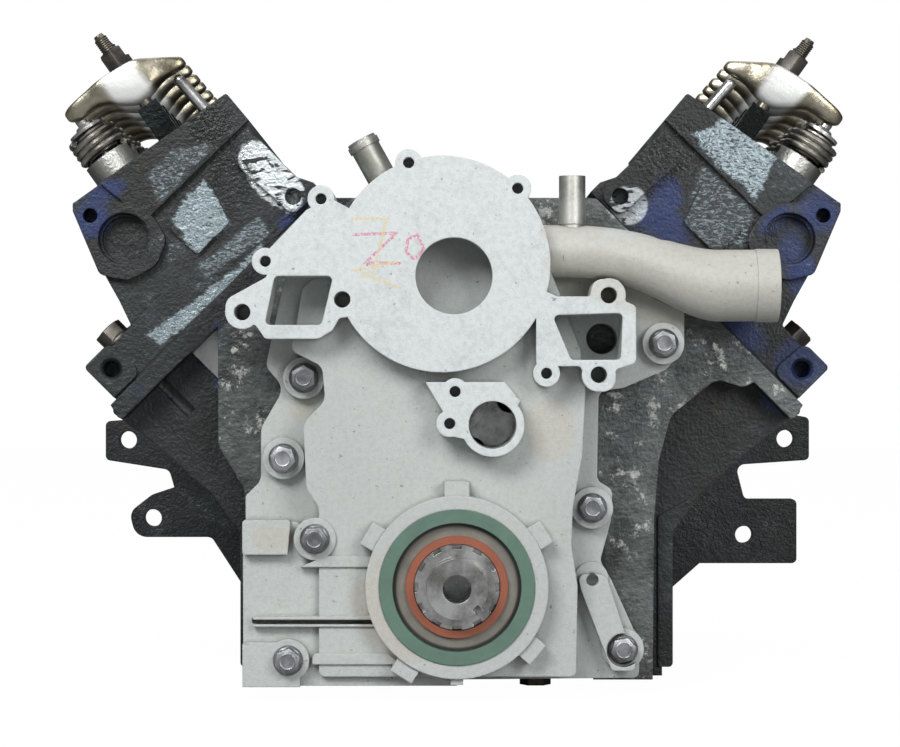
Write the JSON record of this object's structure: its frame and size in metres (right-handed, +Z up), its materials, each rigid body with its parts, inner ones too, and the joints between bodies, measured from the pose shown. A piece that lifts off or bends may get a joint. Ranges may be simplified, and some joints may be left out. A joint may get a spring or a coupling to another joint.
{
  "type": "v-six engine",
  "caption": "Ninety-degree pushrod V engine long block with cast front cover, stamped rockers and open valley; crank, pistons, rods, cam and valve gear move.",
  "frame": {"origin": "centre of the crank nose's front face, on the crankshaft axis", "axes": "+X to the right seen from the front, +Y rearwards along the crankshaft, +Z up"},
  "size_m": [0.565, 0.507, 0.4398],
  "materials": {
    "block_iron": "thin blue-black paint over cast iron, oiled",
    "head_iron": "blue-black paint, worn to bare iron",
    "cover_metal": "bead-blasted casting",
    "bolt_steel": "zinc plated, dull",
    "dark_steel": "black phosphate",
    "forged_steel": "ground and oiled",
    "rocker_steel": "stamped, oiled",
    "spring_steel": "dark oiled wire",
    "piston_metal": "machined",
    "bearing_metal": "smooth",
    "seal_case_paint": "dull green sealer",
    "seal_rubber": "rust orange, matt",
    "gasket_sheet": "matt sheet",
    "pipe_steel": "plated tube, dull"
  },
  "bodies": {
    "root": {"cam_bearings": "bearing_metal", "core_plugs": "head_iron", "cover_dowel_pin": "bolt_steel", "crank_seal_case": "seal_case_paint", "crank_seal_lip": "seal_rubber", "engine_block": "block_iron", "front_cover": "cover_metal", "front_cover_bolts": "bolt_steel", "front_cover_gasket": "gasket_sheet", "head_bolts": "dark_steel", "left_exhaust_springs": "spring_steel", "left_head": "head_iron", "left_head_gasket": "gasket_sheet", "left_intake_springs": "spring_steel", "main_bearing_shells": "bearing_metal", "main_cap_bolts": "dark_steel", "main_caps": "block_iron", "rear_seal_retainer": "cover_metal", "right_exhaust_springs": "spring_steel", "right_head": "head_iron", "right_head_gasket": "gasket_sheet", "right_intake_springs": "spring_steel", "rocker_nuts": "dark_steel", "rocker_pedestals": "head_iron", "rocker_pivots": "bolt_steel", "rocker_studs": "dark_steel", "timing_chain": "dark_steel", "water_nipples": "pipe_steel"},
    "crank": {"crankshaft": "forged_steel", "crank_sprocket": "forged_steel", "crank_key": "bolt_steel"},
    "cam": {"camshaft": "forged_steel", "cam_sprocket": "forged_steel", "cam_sprocket_bolt": "bolt_steel"},
    "left_exhaust_pushrods_body": {"left_exhaust_pushrods": "forged_steel"},
    "left_exhaust_rockers_body": {"left_exhaust_rockers": "rocker_steel"},
    "left_exhaust_valves_body": {"left_exhaust_valves": "forged_steel"},
    "left_intake_pushrods_body": {"left_intake_pushrods": "forged_steel"},
    "left_intake_rockers_body": {"left_intake_rockers": "rocker_steel"},
    "left_intake_valves_body": {"left_intake_valves": "forged_steel"},
    "piston_1_body": {"piston_1": "piston_metal"},
    "piston_2_body": {"piston_2": "piston_metal"},
    "piston_3_body": {"piston_3": "piston_metal"},
    "piston_4_body": {"piston_4": "piston_metal"},
    "piston_5_body": {"piston_5": "piston_metal"},
    "piston_6_body": {"piston_6": "piston_metal"},
    "right_exhaust_pushrods_body": {"right_exhaust_pushrods": "forged_steel"},
    "right_exhaust_rockers_body": {"right_exhaust_rockers": "rocker_steel"},
    "right_exhaust_valves_body": {"right_exhaust_valves": "forged_steel"},
    "right_intake_pushrods_body": {"right_intake_pushrods": "forged_steel"},
    "right_intake_rockers_body": {"right_intake_rockers": "rocker_steel"},
    "right_intake_valves_body": {"right_intake_valves": "forged_steel"},
    "rod_1_body": {"rod_1": "forged_steel"},
    "rod_2_body": {"rod_2": "forged_steel"},
    "rod_3_body": {"rod_3": "forged_steel"},
    "rod_4_body": {"rod_4": "forged_steel"},
    "rod_5_body": {"rod_5": "forged_steel"},
    "rod_6_body": {"rod_6": "forged_steel"}
  },
  "joints": [
    {"name": "crank_turn", "type": "hinge", "parent": "root", "child": "crank", "pos_m": [0, 0.112, 0], "axis": [0, 1, 0], "range_deg": [-10, 10]},
    {"name": "cam_turn", "type": "hinge", "parent": "root", "child": "cam", "pos_m": [0, 0.112, 0.118], "axis": [0, 1, 0], "range_deg": [-5.5, 5.5]},
    {"name": "rod_1_swing", "type": "hinge", "parent": "crank", "child": "rod_1_body", "pos_m": [-0.01118, 0.15335, 0.04173], "axis": [0, 1, 0], "range_deg": [-14, 14]},
    {"name": "piston_1_slide", "type": "slide", "parent": "root", "child": "piston_1_body", "axis": [-0.7071, 0, 0.7071], "range_m": [-0.008, 0.008]},
    {"name": "rod_2_swing", "type": "hinge", "parent": "crank", "child": "rod_2_body", "pos_m": [0.01118, 0.17835, 0.04173], "axis": [0, 1, 0], "range_deg": [-14, 14]},
    {"name": "piston_2_slide", "type": "slide", "parent": "root", "child": "piston_2_body", "axis": [0.7071, 0, 0.7071], "range_m": [-0.008, 0.008]},
    {"name": "rod_3_swing", "type": "hinge", "parent": "crank", "child": "rod_3_body", "pos_m": [0.04173, 0.26105, -0.01118], "axis": [0, 1, 0], "range_deg": [-14, 14]},
    {"name": "piston_3_slide", "type": "slide", "parent": "root", "child": "piston_3_body", "axis": [-0.7071, 0, 0.7071], "range_m": [-0.008, 0.008]},
    {"name": "rod_4_swing", "type": "hinge", "parent": "crank", "child": "rod_4_body", "pos_m": [0.03055, 0.28605, -0.03055], "axis": [0, 1, 0], "range_deg": [-14, 14]},
    {"name": "piston_4_slide", "type": "slide", "parent": "root", "child": "piston_4_body", "axis": [0.7071, 0, 0.7071], "range_m": [-0.008, 0.008]},
    {"name": "rod_5_swing", "type": "hinge", "parent": "crank", "child": "rod_5_body", "pos_m": [-0.03055, 0.36875, -0.03055], "axis": [0, 1, 0], "range_deg": [-14, 14]},
    {"name": "piston_5_slide", "type": "slide", "parent": "root", "child": "piston_5_body", "axis": [-0.7071, 0, 0.7071], "range_m": [-0.008, 0.008]},
    {"name": "rod_6_swing", "type": "hinge", "parent": "crank", "child": "rod_6_body", "pos_m": [-0.04173, 0.39375, -0.01118], "axis": [0, 1, 0], "range_deg": [-14, 14]},
    {"name": "piston_6_slide", "type": "slide", "parent": "root", "child": "piston_6_body", "axis": [0.7071, 0, 0.7071], "range_m": [-0.008, 0.008]},
    {"name": "left_intake_rocker_tilt", "type": "hinge", "parent": "root", "child": "left_intake_rockers_body", "pos_m": [-0.21624, 0.27, 0.32726], "axis": [0, -1, 0], "range_deg": [0, 8], "stiffness_Nm_per_rad": 60, "springref_deg": -2.86},
    {"name": "left_intake_valve_slide", "type": "slide", "parent": "root", "child": "left_intake_valves_body", "axis": [0.5807, 0, -0.8141], "range_m": [0, 0.0065], "deforming": ["left_intake_springs"]},
    {"name": "left_intake_pushrod_slide", "type": "slide", "parent": "root", "child": "left_intake_pushrods_body", "axis": [-0.6556, 0, 0.7551], "range_m": [0, 0.004]},
    {"name": "left_exhaust_rocker_tilt", "type": "hinge", "parent": "root", "child": "left_exhaust_rockers_body", "pos_m": [-0.21624, 0.27, 0.32726], "axis": [0, -1, 0], "range_deg": [0, 8], "stiffness_Nm_per_rad": 60, "springref_deg": -2.86},
    {"name": "left_exhaust_valve_slide", "type": "slide", "parent": "root", "child": "left_exhaust_valves_body", "axis": [0.5807, 0, -0.8141], "range_m": [0, 0.0065], "deforming": ["left_exhaust_springs"]},
    {"name": "left_exhaust_pushrod_slide", "type": "slide", "parent": "root", "child": "left_exhaust_pushrods_body", "axis": [-0.6556, 0, 0.7551], "range_m": [0, 0.004]},
    {"name": "right_intake_rocker_tilt", "type": "hinge", "parent": "root", "child": "right_intake_rockers_body", "pos_m": [0.21624, 0.27, 0.32726], "axis": [0, 1, 0], "range_deg": [0, 8], "stiffness_Nm_per_rad": 60, "springref_deg": -2.86},
    {"name": "right_intake_valve_slide", "type": "slide", "parent": "root", "child": "right_intake_valves_body", "axis": [-0.5807, 0, -0.8141], "range_m": [0, 0.0065], "deforming": ["right_intake_springs"]},
    {"name": "right_intake_pushrod_slide", "type": "slide", "parent": "root", "child": "right_intake_pushrods_body", "axis": [0.6556, 0, 0.7551], "range_m": [0, 0.004]},
    {"name": "right_exhaust_rocker_tilt", "type": "hinge", "parent": "root", "child": "right_exhaust_rockers_body", "pos_m": [0.21624, 0.27, 0.32726], "axis": [0, 1, 0], "range_deg": [0, 8], "stiffness_Nm_per_rad": 60, "springref_deg": -2.86},
    {"name": "right_exhaust_valve_slide", "type": "slide", "parent": "root", "child": "right_exhaust_valves_body", "axis": [-0.5807, 0, -0.8141], "range_m": [0, 0.0065], "deforming": ["right_exhaust_springs"]},
    {"name": "right_exhaust_pushrod_slide", "type": "slide", "parent": "root", "child": "right_exhaust_pushrods_body", "axis": [0.6556, 0, 0.7551], "range_m": [0, 0.004]}
  ],
  "couplings": [
    {"joint": "cam_turn", "follows": "crank_turn", "ratio": 0.5},
    {"joint": "rod_1_swing", "follows": "crank_turn", "ratio": -1.2497},
    {"joint": "piston_1_slide", "follows": "crank_turn", "m_per_rad": -0.026993},
    {"joint": "rod_2_swing", "follows": "crank_turn", "ratio": -1.2497},
    {"joint": "piston_2_slide", "follows": "crank_turn", "m_per_rad": 0.026993},
    {"joint": "rod_3_swing", "follows": "crank_turn", "ratio": -0.75034},
    {"joint": "piston_3_slide", "follows": "crank_turn", "m_per_rad": -0.016207},
    {"joint": "rod_4_swing", "follows": "crank_turn", "ratio": -1},
    {"joint": "piston_4_slide", "follows": "crank_turn", "m_per_rad": -0.0432},
    {"joint": "rod_5_swing", "follows": "crank_turn", "ratio": -1},
    {"joint": "piston_5_slide", "follows": "crank_turn", "m_per_rad": 0.0432},
    {"joint": "rod_6_swing", "follows": "crank_turn", "ratio": -0.75034},
    {"joint": "piston_6_slide", "follows": "crank_turn", "m_per_rad": 0.016207},
    {"joint": "left_intake_valve_slide", "follows": "left_intake_rocker_tilt", "m_per_rad": 0.0437},
    {"joint": "left_intake_pushrod_slide", "follows": "left_intake_rocker_tilt", "m_per_rad": 0.0261},
    {"joint": "left_exhaust_valve_slide", "follows": "left_exhaust_rocker_tilt", "m_per_rad": 0.0437},
    {"joint": "left_exhaust_pushrod_slide", "follows": "left_exhaust_rocker_tilt", "m_per_rad": 0.0261},
    {"joint": "right_intake_valve_slide", "follows": "right_intake_rocker_tilt", "m_per_rad": 0.0437},
    {"joint": "right_intake_pushrod_slide", "follows": "right_intake_rocker_tilt", "m_per_rad": 0.0261},
    {"joint": "right_exhaust_valve_slide", "follows": "right_exhaust_rocker_tilt", "m_per_rad": 0.0437},
    {"joint": "right_exhaust_pushrod_slide", "follows": "right_exhaust_rocker_tilt", "m_per_rad": 0.0261}
  ]
}
